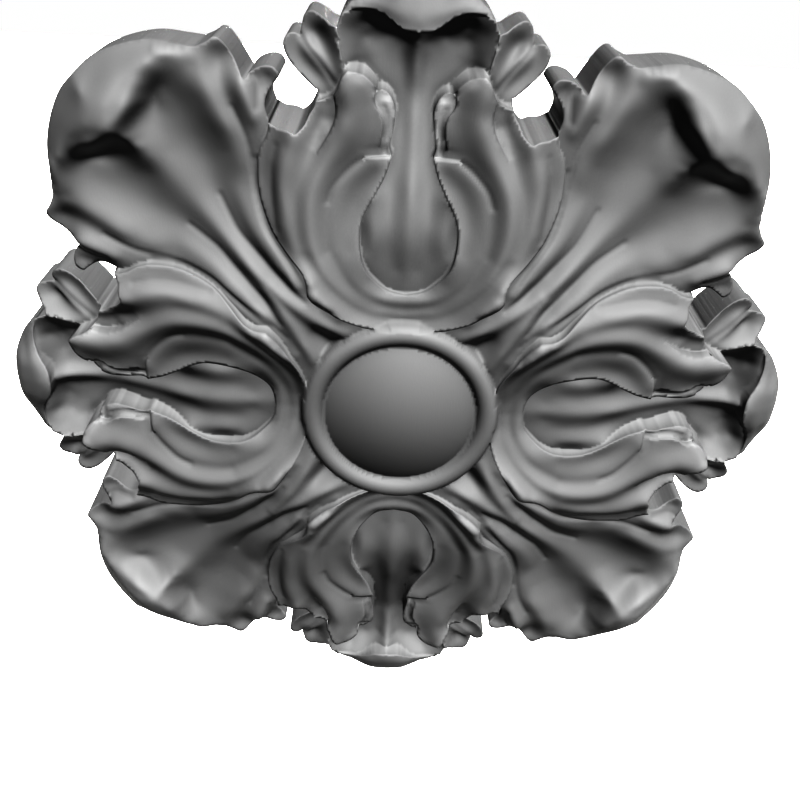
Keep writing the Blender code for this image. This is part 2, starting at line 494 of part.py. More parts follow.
# The carved face thinned out to the solid's share of triangles
def thin_face(collection):
    bm = bmesh.new()
    carve_quarter(bm)
    for axis in ("X", "Z"):
        geometry = list(bm.verts) + list(bm.edges) + list(bm.faces)
        bmesh.ops.mirror(bm, geom=geometry, axis=axis, merge_dist=1e-6)
    bmesh.ops.triangulate(bm, faces=list(bm.faces))
    bmesh.ops.recalc_face_normals(bm, faces=list(bm.faces))
    mesh = bpy.data.meshes.new("carved_rosette")
    bm.to_mesh(mesh)
    bm.free()
    rosette = bpy.data.objects.new("carved_rosette", mesh)
    collection.objects.link(rosette)
    thin = rosette.modifiers.new("Thin out", "DECIMATE")
    thin.ratio = FACE_TRIANGLES / len(mesh.polygons)
    thin.use_symmetry = True
    thin.symmetry_axis = "X"
    bpy.context.view_layer.objects.active = rosette
    rosette.select_set(True)
    bpy.ops.object.modifier_apply(modifier=thin.name)
    return rosette


# The whole block: the carved face with its rim cut straight down to a flat back
def build_rosette(collection):
    rosette = thin_face(collection)
    bm = bmesh.new()
    bm.from_mesh(rosette.data)
    rim = [e for e in bm.edges if e.is_boundary]
    cut = bmesh.ops.extrude_edge_only(bm, edges=rim)["geom"]
    for item in cut:
        if isinstance(item, bmesh.types.BMVert):
            item.co.y = 0
    bmesh.ops.holes_fill(bm, edges=[e for e in bm.edges if e.is_boundary])
    bmesh.ops.triangulate(bm, faces=list(bm.faces))
    bmesh.ops.recalc_face_normals(bm, faces=list(bm.faces))
    bm.to_mesh(rosette.data)
    bm.free()
    return rosette


def wood_material():
    material = bpy.data.materials.new("carved_wood")
    material.use_nodes = True
    shader = material.node_tree.nodes["Principled BSDF"]
    shader.inputs["Base Color"].default_value = WOOD_COLOUR
    shader.inputs["Roughness"].default_value = WOOD_ROUGHNESS
    shader.inputs["Metallic"].default_value = 0.0
    return material


def main():
    for old in list(bpy.data.objects):
        bpy.data.objects.remove(old, do_unlink=True)
    collection = bpy.data.collections.new("Carved rosette")
    bpy.context.scene.collection.children.link(collection)
    rosette = build_rosette(collection)
    rosette.data.materials.append(wood_material())


main()
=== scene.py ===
import math

import bpy
import bmesh
import numpy as np
from mathutils import Matrix, Vector


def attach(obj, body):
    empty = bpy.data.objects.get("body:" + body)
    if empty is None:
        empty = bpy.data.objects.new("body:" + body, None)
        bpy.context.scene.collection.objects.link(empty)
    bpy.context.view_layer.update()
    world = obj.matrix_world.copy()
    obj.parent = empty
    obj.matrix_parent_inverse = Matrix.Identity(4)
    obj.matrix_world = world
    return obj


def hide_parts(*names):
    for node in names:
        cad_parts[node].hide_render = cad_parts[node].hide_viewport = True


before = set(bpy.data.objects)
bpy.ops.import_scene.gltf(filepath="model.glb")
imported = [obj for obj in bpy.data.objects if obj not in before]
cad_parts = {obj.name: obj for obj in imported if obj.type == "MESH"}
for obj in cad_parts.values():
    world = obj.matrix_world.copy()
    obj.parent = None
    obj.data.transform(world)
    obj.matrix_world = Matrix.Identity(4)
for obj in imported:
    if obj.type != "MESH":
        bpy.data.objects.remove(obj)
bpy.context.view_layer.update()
bpy.ops.object.select_all(action="DESELECT")
mm = 0.001

# The carving is drawn in millimetres for one eighth of the rosette: across is the distance from a side leaf's
# axis, along is the distance from the centre, and the rest of it is mirrored.

rosette = {
    "node": "carved_rosette",
    "reach": 124.0,  # half the side of the block the carving comes out of
    "cell": 0.62,  # spacing of the carved surface
    "leastWood": 3.0,  # thinnest the wood gets
    "leafCore": 60.0,  # inside this radius there is wood all round
    "arris": 0.45,  # how far down a wall its worn top edge reaches
}

crownForm = {"height": 33.0, "fall": 15.5, "reach": 100.0}  # the block's face, before the leaves are cut

boss = {"height": 36.6, "fall": 6.4, "radius": 20.6, "ringRadius": 23.7, "ringBar": 3.0,
        "ringHeight": 29.6, "leafOver": 25.5}

# Guide lines of the channel and the tip lobe: across, along, height above the crown
channelGuides = {
    "rib": [(0, 32, -5.6), (0, 36.5, -5.1), (0, 40, -4.5), (0, 48, -2.9), (0, 54, -2.9), (0, 60, -3.7), (0, 68, -5.8), (0, 76, -7.1),
            (0, 82, -7.7), (0, 88, -6.1), (0, 92, -4.4), (0, 95.5, -2)],
    "rib side": [(2.5, 40, -5), (2.5, 47, -3.6), (2.5, 53, -3.5), (2.5, 60, -4.8), (2.5, 70, -7), (2.5, 80, -8.5),
                 (2.5, 86, -8.1), (2.5, 90, -7.1), (2.5, 94, -5.4)],
    "floor": [(5, 36, -5.6), (5, 43, -4.6), (5, 50, -3.8), (5, 56, -4.6), (5, 62, -5.8), (4.6, 70, -7.1),
              (4.3, 80, -8.8), (4.6, 86, -8.5), (5.5, 91, -7.6), (7, 95, -6.4)],
    "bank": [(8, 39, -4.9), (9.3, 44, -3.8), (9.2, 49, -3), (9.2, 54, -2.8), (8.7, 58, -3), (7.5, 61, -4.8)],
    "wall": [(10.5, 43, -3.9), (11.2, 49, -3.8), (11, 54, -2.9), (9.5, 58, -2.3)],
    "tip floor": [(9.5, 84, -8.2), (10.5, 89, -7.7), (12, 92, -6.7), (12.3, 95, -5.9), (11, 98, -3.8)],
    "bank foot": [(14.2, 88, -6.8), (14.2, 92, -5.8), (13.7, 95.5, -4.7), (12, 98, -3.9)],
    "lip foot": [(0, 96.5, -.8), (2, 96.7, -2.2), (4, 97.2, -3), (6, 98.3, -2.3), (8, 99.3, -1.4), (10, 100, -.8),
                 (12.5, 100, -1.3), (14.7, 98.8, -1.8), (16.1, 96, -3), (16.5, 92.5, -3.4), (16.2, 89, -3.9)],
    "tip edge": [(9, 101, .2), (12, 101.7, .3), (15.2, 101.6, .1), (17, 99.5, -.4), (18.4, 97, -.9), (18.8, 93.5, -1.2),
                 (18.3, 89, -2.2), (17.6, 86.5, -2.5)],
    "mouth": [(0, 34, -5.4), (2.5, 34.3, -5.6), (4.9, 35, -5.7), (6.8, 36.2, -5.5), (8.6, 38, -5.1)],
}

# Guide lines of the tip that turns over the channel's end
tipGuides = {
    "lip": [(0, 97.2, 3), (2.5, 97.4, 2.8), (4.6, 98.2, 2.3), (6.4, 99.4, 2), (8.5, 100.6, 1.2), (11.5, 101.4, .4),
            (15, 101.2, 0), (18.4, 100, -.5)],
    "top": [(0, 99.8, 3.6), (3, 100.2, 3.3), (6, 101.2, 2.7), (9, 102.2, 1.4), (12, 102.8, .4), (16.4, 102.4, 0)],
    "brow": [(0, 104, 3.1), (5, 104, 2.6), (9, 103.8, .8), (13, 103.9, -.4)],
    "rim": [(0, 106.5, 2.2), (5, 106, 2.1), (8.5, 105, .8), (12, 104, -.4), (16.6, 101.4, -.4)],
    "edge": [(0, 108.3, 0), (6.5, 107.4, .3), (12.4, 105.2, -1.4), (17.6, 101.6, -1)],
}

# Guide lines of the side leaf
sideLeafGuides = {
    "eye": [(12.6, 46, -.3), (12.8, 51, -.6), (11.8, 55, -.9), (9.6, 59.4, -.9), (7.7, 63, -.9), (6, 67.5, -.5)],
    "gutter": [(14.2, 46, -.35), (14.8, 50, -.5), (14.6, 54, -.9), (13.6, 58, -1.2), (11.6, 62, -1.1), (9, 65, -.7)],
    "ring side": [(18.5, 46, .5), (19, 51, .55), (18.2, 58, .4), (16, 63, .2), (12.5, 66.5, .1), (9, 68.3, .2)],
    "slope foot": [(20.2, 46, .8), (20.7, 51, .9), (20.4, 58, .8), (18.7, 62.5, .6), (16, 65.5, .2), (13, 67.8, .1)],
    "inner ridge": [(23, 46.5, 2.95), (24.3, 51, 3.2), (24.6, 57, 3.2), (23.6, 62, 2.9),
                    (21.6, 67, 2.5), (19.8, 70.4, 2.6), (18.4, 73, 2.9), (17.2, 76.5, 3.5), (15.9, 80, 4),
                    (15.8, 84, 5.1), (15.8, 88, 5.8)],
    "crest": [(24, 38.8, 4.7), (25.2, 41, 4), (26.8, 43.8, 3.1), (28, 46, 2.8), (29.3, 50, 2.7), (30.4, 55, 2.75),
              (30.9, 61, 2.65), (30.7, 66, 2.95), (29.6, 70, 3.1), (28.5, 73, 3.4), (28.2, 75, 3)],
    "hollow": [(26.8, 48, 2.65), (27.9, 53, 2.5), (28.2, 58, 2.25),
               (27.2, 62.5, 2.1), (25.3, 66, 1.7), (24, 70, .8), (23, 74, .1), (23, 77.5, 0)],
    "chisel side": [(20.9, 73.5, 1.6), (20.3, 77, 1.1), (21, 80, .9)],
    "fold top": [(31.3, 52, 2.2), (31.9, 57, 2.2), (32.1, 62, 2.4), (31.7, 67, 2.6), (30.7, 71, 2.7)],
    "fold foot": [(32.6, 49, .7), (33.4, 54, .5), (34, 58, .1), (34.1, 63, .2), (33.8, 67, .7), (32.9, 70.5, 1.3),
                  (32.4, 74, 1.8)],
    "edge": [(19.2, 30.8, 2.3), (21.8, 32.8, 3.5), (24.2, 35, 4.5), (24.8, 37.6, 4.2), (25.9, 40.6, 3.8), (29, 44.2, 2.5), (32, 47.9, .8), (34.4, 52, -.2), (36.2, 57, -.8),
             (37, 62, -.9), (36.6, 67, -.2), (35.6, 71, .6), (35, 74.3, 1.2)],
    "curl": [(6, 71, -.4), (5.8, 76, .3), (5.6, 80, .8), (7.2, 82.5, 1.4), (8.3, 83.6, 1.8)],
    "curl ridge": [(6.9, 73, 0), (6.6, 77, 1), (7, 80, 1.5)],
    "middle": [(8.8, 71, -.1), (8.6, 75, .9), (9.2, 78.5, 1.5), (10.6, 81, 2.2), (11.6, 83.5, 3.2), (13, 86, 4.4)],
    "lobe end": [(10.3, 85, 3), (11.6, 86.6, 3.9), (13.6, 87.9, 4.6), (16.2, 88.6, 5.6)],
    "cheek": [(11.5, 70.5, .4), (12, 75, 1.8), (12.8, 79, 3)],
}

# The side leaf's folds where they turn round the eye under it: degrees from straight down and distance, both about the
# eye's centre, and height above the crown
eyeCentre = (0, 46)
swirlGuides = {
    "bowl edge": [(0, 12.6, -3.8), (24, 12.5, -3.75), (36, 12.4, -3.15), (48, 12.2, -2.45), (60, 12, -1.45),
                  (75, 12.3, -.55), (88, 12.6, -.3)],
    "first ridge": [(0, 13.5, -3.45), (12, 13.8, -3.3), (24, 14.2, -2.9), (36, 14.7, -2.2), (48, 15.2, -1.3),
                    (60, 15.7, -.5), (75, 16.6, .08), (88, 17.6, .4)],
    "first groove": [(0, 16, -4.07), (12, 16, -3.8), (24, 16, -3.2), (36, 15.8, -2.25), (48, 16.2, -1.3),
                     (60, 17, -.5), (75, 18, .27), (88, 19.4, .6)],
    "second ridge": [(0, 17.5, -3.8), (12, 17.4, -3.5), (24, 18, -2.6), (36, 18.5, -1.55), (48, 19, -.23),
                     (60, 19.7, 1.1), (75, 21.2, 2.5), (88, 22.6, 2.85)],
    "second groove": [(0, 18.6, -3.95), (12, 18.8, -3.6), (24, 19.3, -2.5), (36, 19.8, -1.37), (48, 20.3, .05),
                      (60, 21.1, 1.37), (75, 22.7, 2.7), (88, 25.4, 2.65)],
    "crest": [(12, 20.6, -2.6), (24, 21.4, -1.3), (36, 22, .25), (48, 23, 2.5), (58, 24.2, 4.4), (66, 24.9, 5)],
}

# Guide lines of the diagonal leaf
diagonalLeafGuides = {
    "midrib": [(19.2, 19.2, -4.6), (21, 21, -4), (23, 23, -2.5), (25, 25, -.7), (28, 28, .4), (31, 31, .7), (35, 35, .3),
               (40, 40, -.4), (46, 46, -2.3), (50, 50, -3.4), (54, 54, -3.9), (58, 58, -3.5), (62, 62, -2.3),
               (66, 66, .4)],
    "inner strand": [(14.8, 23.2, -1.3), (17.5, 24.5, -.5), (20.2, 25.8, .2), (25.2, 28.8, .9), (27.6, 30.4, 1.2),
                     (30.5, 32.4, 1), (34.3, 35.7, .4)],
    "valley": [(13.3, 24.7, -1.7), (16, 26, -1.1), (18.8, 27.4, -.5), (22.5, 30, -.1), (25.6, 32, .15), (28.2, 34, -.2),
               (30.9, 36, -1.2), (32.9, 38, -1.6), (34.9, 40, -1.8), (37, 42, -2.4), (39, 44, -2.7), (43, 48, -3.6),
               (45.5, 52, -4.5), (47.8, 56, -5.2), (49.7, 60, -5.2), (51.2, 65, -4.9), (53.2, 69, -4.2)],
    "outer strand": [(22.5, 31.4, .1), (25.8, 34, .2), (28, 36.4, .9), (30, 38.6, .5), (32, 40.2, .1), (35.5, 44, -.6), (38.4, 48, -1.4),
                     (40.8, 52, -2.4), (42.6, 56, -3.3), (43.2, 60, -3.8), (42, 65, -2.8), (43.3, 70, -1.8),
                     (45.3, 74, -.5), (47.7, 78, .2), (50, 82, .9), (51.4, 86, 1), (51.6, 91, .9)],
    "crease": [(17, 27.9, -.4), (22, 30.8, -.2), (25, 33.5, .1), (26.8, 36, .8), (28.3, 39, .5), (30, 42, 0), (33, 46, -.3), (36, 50.3, -1.5),
               (38, 56, -2.8), (39, 61, -3.3), (39.2, 66, -3), (40.5, 70, -2.3), (42, 74, -1.6), (44, 78, -.9),
               (46, 82, -.5), (47, 85.5, -1.1), (47.6, 88, -1.5), (48, 90.5, -.6)],
    "side crease": [(38.4, 61, -3), (38, 66, -2.9), (37.7, 71, -2), (37.2, 74.5, -1.4)],
    "ear": [(38.4, 75.5, -.5), (39.3, 78.5, .3), (40.3, 82, 1), (41.2, 85, .9)],
    "ear foot": [(37.5, 77.5, -1), (37.9, 80, -1.2), (38, 82.5, -2), (38.7, 85, -1.9), (40.6, 86.6, -1.3)],
    "ear field": [(36.5, 76.5, -1.7), (36.5, 80, -2.4), (36.3, 82.4, -3.1), (35.2, 84.4, -3.4), (36, 85.8, -2.6),
                  (33.6, 85.6, -2.6), (35.6, 87.4, -2), (38.6, 86.6, -1.7)],
    "bay": [(54.8, 72, -3.4), (56.2, 76, -2.2), (57.7, 79, -1.1), (59, 82, .35), (59.5, 84.5, 1.9)],
    "tip": [(44, 90, -1.6), (46, 92, -.4), (48.1, 93.4, .6), (50, 92, .9)],
    "bay wall": [(46, 67, -3.2), (48.5, 71, -2.4), (50.5, 75, -1.3), (52.5, 79, -.3), (54.7, 82.5, .7)],
    "bay side": [(60, 66, -3), (61, 71, -2.4), (61.5, 76, -1.7), (61.6, 80, -.3)],
    "shoulder": [(53.5, 87, 1.4), (57, 88, 2.8), (60.5, 88, 4), (64, 87.5, 5.4)],
    "shoulder rim": [(53.5, 90.3, 1.2), (58, 90.8, 2.6), (62.5, 90.5, 3.4)],
    "lip foot": [(67.4, 67.4, 1.8), (66.5, 70, 1.2), (66.2, 72, .7), (65.3, 74, -.1), (64.6, 76, -.5), (64, 78, -.4),
                 (63.3, 80, .2), (62.4, 82, 1.2), (61.2, 84, 2.2)],
    "lip wall": [(69.8, 69.8, 4.8), (69, 71.5, 4.2), (67.8, 73.8, 3.1), (66.7, 76, 2.6), (65.9, 78, 3.2), (65.3, 80, 3.4),
                 (64.9, 82, 4.2)],
    "lip": [(72, 72, 9), (70.3, 74, 8.4), (68.7, 76, 7.6), (67.6, 78.2, 7.2), (66.8, 81, 6.4), (65.6, 84.5, 5.7)],
    "lip top": [(71.5, 76, 9.7), (70.2, 79, 8.9), (69.3, 82, 7.6), (67.5, 85, 6.3)],
    "crest": [(74.5, 74.5, 10.5), (73.5, 78, 10.1), (71.7, 81.5, 8.5), (69, 84.5, 6.7), (66.5, 87, 5.5)],
    "back": [(80.2, 80.2, 7.3), (77, 82.5, 6.2), (72.5, 86, 4.9), (67, 88.7, 3.8), (63, 90.3, 2.9)],
    "rim": [(82.2, 82.2, 4.8), (79, 86, 3), (71.8, 89.6, 2.2), (63.5, 91.3, 1.3), (56, 90.8, .5)],
}

# Guide lines of the two cupped leaflets beside the tip lobe
leafletGuides = {
    "root": [(14, 85, -3.4), (16, 87.5, -2.6), (19, 84, -3.5)],
    "upper rim": [(17.8, 87.5, -2.3), (18.8, 91, -1.8), (19.5, 94, -1.1), (20.3, 96, -1.3), (21.8, 97.4, -1.7),
                  (23.4, 99.2, -2.3), (25, 100.2, -2.6)],
    "upper hollow": [(19.8, 87.5, -3.2), (21.3, 90, -3.5), (23, 92, -4.3), (24.5, 94, -5.2), (25.3, 96, -4.3),
                     (25.3, 98.5, -3.1)],
    "parting": [(20, 85.7, -3.3), (22, 88.3, -3.1), (23.8, 90.3, -3.1), (25.5, 92.2, -3.1), (27.3, 94.2, -3.9)],
    "lower hollow": [(21.7, 84, -4.4), (24, 86, -4.7), (26.5, 88.3, -4.6), (28.2, 90.3, -4.3), (28.9, 92.6, -4)],
    "lower rim": [(23.6, 83, -4.3), (27, 85.8, -4.3), (30, 88.3, -3.8), (31.3, 91, -3.4), (31, 93.5, -3.2)],
}

# Plan outlines, as runs of points that meet at sharp corners
rimRuns = [
    [(0, 108.2), (6.5, 107.4), (12.3, 105.2), (17, 101.5), (19.2, 97)],
    [(19.2, 97), (20.6, 97.3), (22.8, 98.8), (25.2, 99.8), (26.9, 99), (27.6, 96.7), (28.1, 94.3)],
    [(28.1, 94.3), (29.8, 94.8), (31.4, 94), (31.9, 91.6), (30.4, 88.5), (27, 85), (23.7, 82.3)],
    [(23.7, 82.3), (23.8, 80), (25.2, 77.6), (26.3, 75.4), (28.3, 73.5)],
    [(28.3, 73.5), (30.4, 74.3), (32.8, 74.5), (35.3, 75.7)],
    [(35.3, 75.7), (36.2, 78.4), (35.7, 81), (34.3, 83.2), (32.8, 85.2)],
    [(32.8, 85.2), (33.8, 86.9), (35.9, 87.4), (38.4, 86.7), (40.1, 85.5), (41, 84.2)],
    [(41, 84.2), (42.4, 86.6), (44.4, 89.8), (46.5, 92.5), (48.3, 93.3), (50.3, 92), (53, 90.8)],
    [(53, 90.8), (57, 91.2), (64, 91.7), (71.6, 90.1), (78.4, 87.1), (83, 83)],
]
sideLeafRuns = [
    [(0, 33.8), (4.5, 34.8), (7.8, 37.3), (10.8, 41.5), (12.1, 46.5), (12.2, 52), (10.9, 56), (8.6, 60.2), (6.5, 64.3),
     (5, 69)],
    [(5, 69), (5.6, 71.2), (4.9, 75.5), (4.6, 79), (5.2, 81.4), (6.4, 83.2), (7.9, 84.1), (9, 83.6)],
    [(9, 83.6), (9.8, 85.5), (11.2, 87), (13.2, 88.2), (16.2, 88.8)],
    [(16.2, 88.8), (17.5, 87), (18.6, 84.2), (20.5, 81.9), (23.2, 80.9), (25.4, 81)],
    [(25.4, 81), (28.5, 76.8), (35.9, 77.8)],
    [(35.9, 77.8), (34.9, 74.8), (35.6, 72), (37, 69.2), (37.7, 65.5), (37.4, 59), (35.8, 53.5), (33.6, 49), (30, 44.8),
     (26.7, 41.6), (25.2, 38.8), (24.8, 35.4)],
    [(24.8, 35.4), (23, 33.4), (20.2, 31.3), (16.6, 29.1), (12.6, 27), (8, 25.5), (0, 25)],
]
tipLine = [(0, 97), (2.5, 97.2), (4.6, 98), (6.4, 99.2), (8.5, 100.4), (11.5, 101.2), (15, 101), (18.4, 99.8), (20, 99)]
channelCorners = [(0, 30), (0, 120), (19.2, 120), (19.2, 97.5), (18.5, 93), (17.2, 88), (14, 85.5), (14, 30)]
leafletCorners = [(19.2, 120), (19.2, 97.5), (18.5, 93), (17.2, 88), (14.5, 89.2), (11, 85.5), (9, 80),
                   (15, 70), (26, 74), (24.5, 80.5), (40, 100)]

# Chisel laps inside the side leaf: the side to the left of each line, seen along it, is cut down by the depths given at
# its points, and the cut runs out over the reach. The area tells the two sides apart.
laps = {
    "curl": {"line": [(8.3, 70.5, 0), (7.7, 73.5, .4), (7.5, 76.5, .7), (8, 78.8, 1.1), (9.2, 80.4, 1.6),
                      (9.7, 82, 2), (9.4, 83.8, 2.2), (9, 86, 2.2)],
             "area": [(9, 92), (0, 92), (0, 70.5)], "reach": 60.0},
    "scoop": {"line": [(23.2, 69.3, 0), (21.6, 71.8, .9), (20.3, 74, 2), (19.4, 76, 3), (18.9, 78, 3.1),
                       (18.8, 80, 3.1), (19.4, 83.5, 3.2)],
              "area": [(19.4, 90), (34, 90), (34, 69.3)], "reach": 4.5},
    "tongue": {"line": [(4.5, 69.1, .9), (7, 69, .9), (9.5, 68.9, .6), (12.5, 68.2, 0)],
               "area": [(12.5, 72), (4.5, 72)], "reach": 3.0},
}

# V cuts of the parting tool: line of (across, along) points, depth and half width
veins = {
    "small lobe": {"line": [(12, 68.4), (14.5, 66.5), (17, 64), (19, 61.5), (20.3, 58)], "depth": 0.4, "width": 1.0},
    "outer fold": {"line": [(32.8, 50), (33.6, 55), (34.1, 60), (34, 65), (33, 70.5)], "depth": 0.3, "width": 1.0},
    "strand valley": {"line": [(25.6, 32), (30.9, 36), (34.9, 40), (39, 44), (43, 48), (45.5, 52), (47.8, 56)],
                      "depth": 0.35, "width": 1.0},
    "leaflet parting": {"line": [(19.5, 84), (22.6, 88), (25.4, 91), (28.1, 94.3)], "depth": 0.5, "width": 0.9},
    "fold foot": {"line": [(24.8, 35), (28.6, 40.6), (31.8, 44.6), (35, 49.4), (37.4, 56), (38.3, 61), (38.4, 66)],
                  "depth": 0.5, "width": 1.0},
    "strand crease": {"line": [(22, 30.8), (26.8, 36), (30, 42), (33, 46), (36, 50.3), (38, 56), (39, 61), (40.5, 70),
                               (44, 78)], "depth": 0.35, "width": 1.0},
    "curl groove": {"line": [(6.8, 70), (6.4, 73), (6.3, 76), (6.7, 78.6), (7.4, 80.4)], "depth": 0.8, "width": 1.0},
    "ear crease": {"line": [(37.9, 78), (38, 82.5), (39, 85), (40.8, 84.6)], "depth": 0.5, "width": 1.0},
}


def smoothRun(points, steps=8):  # a smooth curve through the points
    p = np.array(points, float)
    p = np.vstack([2 * p[0] - p[1], p, 2 * p[-1] - p[-2]])
    t = np.linspace(0, 1, steps, endpoint=False)[:, None]
    pieces = []
    for a, b, c, d in zip(p, p[1:], p[2:], p[3:]):
        pieces.append(0.5 * (2 * b + (c - a) * t + (2 * a - 5 * b + 4 * c - d) * t**2
                             + (3 * b - a - 3 * c + d) * t**3))
    pieces.append(p[-2:-1])
    return np.vstack(pieces)


def readAlong(points, gap):  # the same curve read at even distances
    curve = smoothRun(points)
    length = np.concatenate([[0], np.cumsum(np.hypot(*np.diff(curve[:, :2], axis=0).T))])
    count = max(2, int(round(length[-1] / gap)) + 1)
    places = np.linspace(0, length[-1], count)
    return np.stack([np.interp(places, length, curve[:, k]) for k in range(curve.shape[1])], 1)


def aboutEye(line):  # a guide line given about the eye, in plan
    turned = []
    for angle, distance, height in line:
        across = eyeCentre[0] + distance * math.sin(math.radians(angle))
        along = eyeCentre[1] - distance * math.cos(math.radians(angle))
        turned.append((across, along, height))
    return turned


def crownHeight(x, y):
    return crownForm["height"] - crownForm["fall"] * (x * x + y * y) / crownForm["reach"] ** 2


def plateKernel(squared):
    return 0.5 * squared * np.log(squared + 1e-9)


def bentPlate(guides, mirror, gap=1.8, softness=0.5, band=24.0):
    # a thin plate bent to pass through the guide lines; its mirror image keeps it level across the mirror line
    points = np.vstack([readAlong(line, gap) for line in guides.values()])
    twins = points[:0]
    if mirror == "axis":
        twins = points[(points[:, 0] > 0.01) & (points[:, 0] < band)] * (-1, 1, 1)
    if mirror == "diagonal":
        beyond = (points[:, 1] - points[:, 0]) / math.sqrt(2)
        twins = points[(beyond > 0.01) & (beyond < band)][:, [1, 0, 2]]
    points = np.vstack([points, twins])
    plan = points[:, :2]
    count = len(plan)
    squared = ((plan[:, None] - plan[None]) ** 2).sum(-1)
    system = np.zeros((count + 3, count + 3))
    system[:count, :count] = plateKernel(squared) + softness * np.eye(count)
    system[:count, count] = 1
    system[count, :count] = 1
    system[:count, count + 1:] = plan
    system[count + 1:, :count] = plan.T
    weights = np.linalg.solve(system, np.concatenate([points[:, 2], [0, 0, 0]]))

    def height(x, y):
        h = weights[count] + weights[count + 1] * x + weights[count + 2] * y
        for (px, py), weight in zip(plan, weights[:count]):
            h = h + weight * plateKernel((x - px) ** 2 + (y - py) ** 2)
        return h

    return height


def inside(x, y, outline):
    found = np.zeros(x.shape, bool)
    for (x1, y1), (x2, y2) in zip(np.roll(outline, 1, axis=0), outline):
        if y1 != y2:
            found ^= ((y1 > y) != (y2 > y)) & (x < (x2 - x1) * (y - y1) / (y2 - y1) + x1)
    return found


def nearestOn(points, line):  # the nearest place on a line to each point, and how far it is
    best = np.full(len(points), np.inf)
    foot = points.copy()
    for a, b in zip(line, line[1:]):
        run = b - a
        t = np.clip((points - a) @ run / max(run @ run, 1e-9), 0, 1)[:, None]
        place = a + t * run
        distance = np.hypot(*(points - place).T)
        closer = distance < best
        best[closer] = distance[closer]
        foot[closer] = place[closer]
    return foot, best


def closedOutline(runs, closing):
    return np.vstack([smoothRun(run) for run in runs] + [closing])


def arcOutline(radius):  # an arc from the axis to the diagonal, and the sector inside it
    turn = np.linspace(0, math.pi / 4, 24)
    arc = np.stack([np.sin(turn), np.cos(turn)], 1) * radius
    return np.vstack([arc, [(200, 0), (-40, 0), (-40, radius)]]), arc


def lapArea(lap):
    return np.vstack([smoothRun(lap["line"])[:, :2], lap["area"]])


def lapDepth(x, y, lap):  # how deep the lap is cut at each point
    line = smoothRun(lap["line"])
    foot, distance = nearestOn(np.stack([x, y], 1), line[:, :2])
    nearest = ((foot[:, None] - line[None, :, :2]) ** 2).sum(-1).argmin(1)
    return line[nearest, 2] * np.clip(1 - distance / lap["reach"], 0, 1)


rimOutline = closedOutline(rimRuns, [(200, 83), (200, 0), (-40, 0), (-40, 109.4)])
sideLeafOutline = closedOutline(sideLeafRuns, [(-30, 25), (-30, 33.8)])
channelOutline = np.array(channelCorners, float)
tipOutline = closedOutline([tipLine], [(20, 120), (0, 120)])
leafletOutline = np.array(leafletCorners, float)

# Each step in the carving: the area inside it and the line that it follows
carvedSteps = {
    "rim": (rimOutline, rimOutline[:-4]),
    "sideLeaf": (sideLeafOutline, sideLeafOutline[:-2]),
    **{name: (lapArea(lap), smoothRun(lap["line"])[:, :2]) for name, lap in laps.items()},
    "channel": (channelOutline, channelOutline[3:6]),
    "tip": (tipOutline, tipOutline[:-2]),
    "boss": arcOutline(boss["radius"]),
    "ring": arcOutline(boss["ringRadius"] + boss["ringBar"]),
}


def carvedHeight(x, y, within):  # the height of the carved face over one eighth of the rosette
    channel = bentPlate(channelGuides, "axis")
    tip = bentPlate(tipGuides, "axis")
    sideLeaf = bentPlate(sideLeafGuides | {"swirl " + name: aboutEye(line) for name, line in swirlGuides.items()}, "axis")
    diagonalLeaf = bentPlate(diagonalLeafGuides, "diagonal")
    leaflets = bentPlate(leafletGuides, None)
    offset = diagonalLeaf(x, y)
    offset = np.where(inside(x, y, leafletOutline), leaflets(x, y), offset)
    offset = np.where(within["channel"], channel(x, y), offset)
    offset = np.where(within["tip"] & within["channel"], tip(x, y), offset)
    offset = np.where(within["sideLeaf"], sideLeaf(x, y), offset)
    for name, lap in laps.items():
        cut = within["sideLeaf"] & within[name]
        offset[cut] -= lapDepth(x[cut], y[cut], lap)
    leaf = crownHeight(x, y) + offset
    for vein in veins.values():
        distance = nearestOn(np.stack([x, y], 1), smoothRun(vein["line"]))[1]
        leaf = leaf - vein["depth"] * np.maximum(0, 1 - distance / vein["width"])
    radius = np.hypot(x, y)
    dome = boss["height"] - boss["fall"] * (radius / boss["radius"]) ** 2
    bar = boss["ringHeight"] + np.sqrt(np.maximum(0, boss["ringBar"] ** 2 - (radius - boss["ringRadius"]) ** 2))
    ring = np.maximum(bar, np.where(radius > boss["leafOver"], leaf, 0))
    ringEdge = boss["ringRadius"] + boss["ringBar"]
    face = np.where(radius < boss["radius"], dome, np.where(radius < ringEdge, ring, leaf))
    return np.maximum(face, rosette["leastWood"])


def fitToOutline(plan, grid, outline, line, fixed, cell):
    # moves the grid points beside an outline onto it, and says which they are and which points lie inside
    low = plan.min(axis=1)
    high = plan.max(axis=1)
    swapped = plan[:, 0] > plan[:, 1]
    folded = np.stack([low, high], 1)
    within = inside(low + 1e-6, high, outline)
    foot, distance = nearestOn(folded, line)
    chosen = np.zeros(len(plan), bool)
    for first, second in ((grid[:-1], grid[1:]), (grid[:, :-1], grid[:, 1:])):
        a = first.ravel()
        b = second.ravel()
        crossing = (within[a] != within[b]) & ~fixed[a] & ~fixed[b]
        a = a[crossing]
        b = b[crossing]
        chosen[np.where(distance[a] <= distance[b], a, b)] = True
    chosen &= distance < cell
    foot[plan[:, 0] == plan[:, 1]] = foot[plan[:, 0] == plan[:, 1]].mean(axis=1)[:, None]
    foot[low == 0, 0] = 0
    plan[chosen] = np.where(swapped[chosen, None], foot[chosen][:, ::-1], foot[chosen])
    return chosen, within


def selectOnly(mesh, kind, flags):  # marks what the next operator works on; called in object mode
    for part in (mesh.vertices, mesh.edges, mesh.polygons):
        part.foreach_set("select", np.zeros(len(part), bool))
    getattr(mesh, kind).foreach_set("select", flags)


